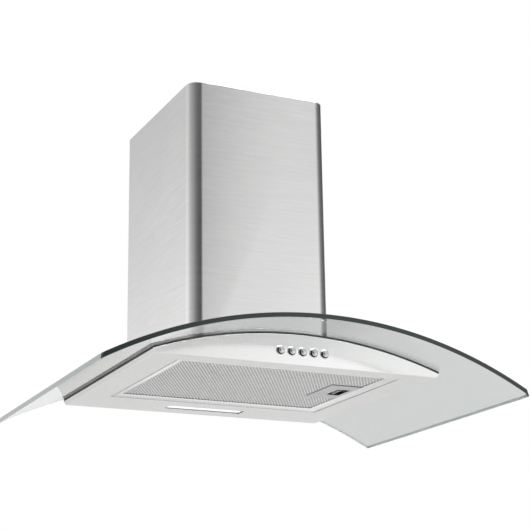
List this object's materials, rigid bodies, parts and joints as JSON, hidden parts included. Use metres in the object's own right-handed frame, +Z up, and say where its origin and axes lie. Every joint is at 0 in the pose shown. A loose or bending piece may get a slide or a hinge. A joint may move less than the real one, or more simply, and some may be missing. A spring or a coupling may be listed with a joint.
{
  "type": "wall chimney range hood",
  "caption": "Wall-mounted kitchen chimney hood: brushed steel chimney, arched glass canopy, shallow body with push buttons, drop-down grease filter and lamp cover.",
  "frame": {"origin": "centre of the four wall-screw holes of the chassis, on the wall side of its back plate", "axes": "+X to the right seen from the front, +Y towards the wall, +Z up"},
  "size_m": [0.6, 0.4485, 0.4628],
  "materials": {
    "brushed_steel": "satin, fine horizontal grain",
    "zinc_steel": "galvanised sheet",
    "screw_steel": "bright plated",
    "spring_steel": "bright wire",
    "chrome_button": "polished",
    "clear_glass": "clear, polished edges",
    "rubber_black": "matt",
    "blower_plastic": "moulded",
    "collar_plastic": "moulded",
    "motor_case": "die-cast",
    "filter_aluminium": "bright, expanded mesh",
    "lens_frosted": "frosted",
    "ceramic_white": "glazed",
    "bulb_glass": "opal",
    "switch_plastic": "moulded",
    "box_plastic": "moulded",
    "cable_sheath": "flexible sheath",
    "capacitor_can": "moulded can"
  },
  "bodies": {
    "hood": {"fascia_panel": "brushed_steel", "bottom_panel": "brushed_steel", "lower_chimney": "brushed_steel", "rear_panel": "zinc_steel", "top_cover": "zinc_steel", "chimney_brackets": "zinc_steel", "chassis_back": "zinc_steel", "chassis_left": "zinc_steel", "chassis_right": "zinc_steel", "chassis_brace": "zinc_steel", "motor_bracket": "zinc_steel", "switch_bracket": "zinc_steel", "lamp_housing": "zinc_steel", "capacitor_clip": "zinc_steel", "glass_washers": "screw_steel", "glass_screws": "screw_steel", "chassis_screws": "screw_steel", "blower_screws": "screw_steel", "flap_pins": "screw_steel", "button_spring_1": "spring_steel", "button_spring_2": "spring_steel", "button_spring_3": "spring_steel", "button_spring_4": "spring_steel", "button_spring_5": "spring_steel", "glass_canopy": "clear_glass", "glass_gasket": "rubber_black", "glass_bushes": "rubber_black", "wall_spacers": "rubber_black", "scroll_left": "blower_plastic", "scroll_right": "blower_plastic", "inlet_guard": "blower_plastic", "outlet_collar": "collar_plastic", "motor_body": "motor_case", "lamp_holder": "ceramic_white", "lamp_bulb": "bulb_glass", "switch_block": "switch_plastic", "terminal_box": "box_plastic", "terminal_lid": "box_plastic", "cable_gland": "box_plastic", "loom_clip": "box_plastic", "wiring_loom": "cable_sheath", "capacitor": "capacitor_can"},
    "upper_chimney_body": {"upper_chimney": "brushed_steel", "upper_bracket": "zinc_steel"},
    "filter": {"filter_frame": "filter_aluminium", "filter_face_mesh": "filter_aluminium", "filter_core": "filter_aluminium", "latch_plate": "brushed_steel", "latch_spring": "spring_steel"},
    "filter_latch": {"latch_slider": "screw_steel"},
    "lamp_lens": {"lamp_cover": "lens_frosted"},
    "wheel": {"impeller": "blower_plastic", "motor_shaft": "screw_steel"},
    "left_flap": {"flap_left": "collar_plastic"},
    "right_flap": {"flap_right": "collar_plastic"},
    "push_button_1": {"button_1": "chrome_button"},
    "push_button_2": {"button_2": "chrome_button"},
    "push_button_3": {"button_3": "chrome_button"},
    "push_button_4": {"button_4": "chrome_button"},
    "push_button_5": {"button_5": "chrome_button"}
  },
  "joints": [
    {"name": "upper_chimney_slide", "type": "slide", "parent": "hood", "child": "upper_chimney_body", "axis": [0, 0, 1], "range_m": [0, 0.3]},
    {"name": "filter_swing", "type": "hinge", "parent": "hood", "child": "filter", "pos_m": [-0.161, -0.212, -0.184], "axis": [0, 1, 0], "range_deg": [0, 75]},
    {"name": "filter_latch_slide", "type": "slide", "parent": "filter", "child": "filter_latch", "axis": [-1, 0, 0], "range_m": [0, 0.006], "stiffness_N_per_m": 300, "springref_m": -0.004, "deforming": ["latch_spring"]},
    {"name": "lamp_lens_swing", "type": "hinge", "parent": "hood", "child": "lamp_lens", "pos_m": [0, -0.0362, -0.1812], "axis": [1, 0, 0], "range_deg": [0, 80]},
    {"name": "wheel_spin", "type": "hinge", "parent": "hood", "child": "wheel", "pos_m": [0, -0.095, -0.01999], "axis": [1, 0, 0], "continuous": true},
    {"name": "left_flap_swing", "type": "hinge", "parent": "hood", "child": "left_flap", "pos_m": [-0.004, -0.138, 0.11641], "axis": [0, 1, 0], "range_deg": [0, 75]},
    {"name": "right_flap_swing", "type": "hinge", "parent": "hood", "child": "right_flap", "pos_m": [0.004, -0.138, 0.11641], "axis": [0, -1, 0], "range_deg": [0, 75]},
    {"name": "button_1_press", "type": "slide", "parent": "hood", "child": "push_button_1", "axis": [0, 1, 0], "range_m": [0, 0.003], "stiffness_N_per_m": 400, "springref_m": -0.003, "deforming": ["button_spring_1"]},
    {"name": "button_2_press", "type": "slide", "parent": "hood", "child": "push_button_2", "axis": [0, 1, 0], "range_m": [0, 0.003], "stiffness_N_per_m": 400, "springref_m": -0.003, "deforming": ["button_spring_2"]},
    {"name": "button_3_press", "type": "slide", "parent": "hood", "child": "push_button_3", "axis": [0, 1, 0], "range_m": [0, 0.003], "stiffness_N_per_m": 400, "springref_m": -0.003, "deforming": ["button_spring_3"]},
    {"name": "button_4_press", "type": "slide", "parent": "hood", "child": "push_button_4", "axis": [0, 1, 0], "range_m": [0, 0.003], "stiffness_N_per_m": 400, "springref_m": -0.003, "deforming": ["button_spring_4"]},
    {"name": "button_5_press", "type": "slide", "parent": "hood", "child": "push_button_5", "axis": [0, 1, 0], "range_m": [0, 0.003], "stiffness_N_per_m": 400, "springref_m": -0.003, "deforming": ["button_spring_5"]}
  ]
}
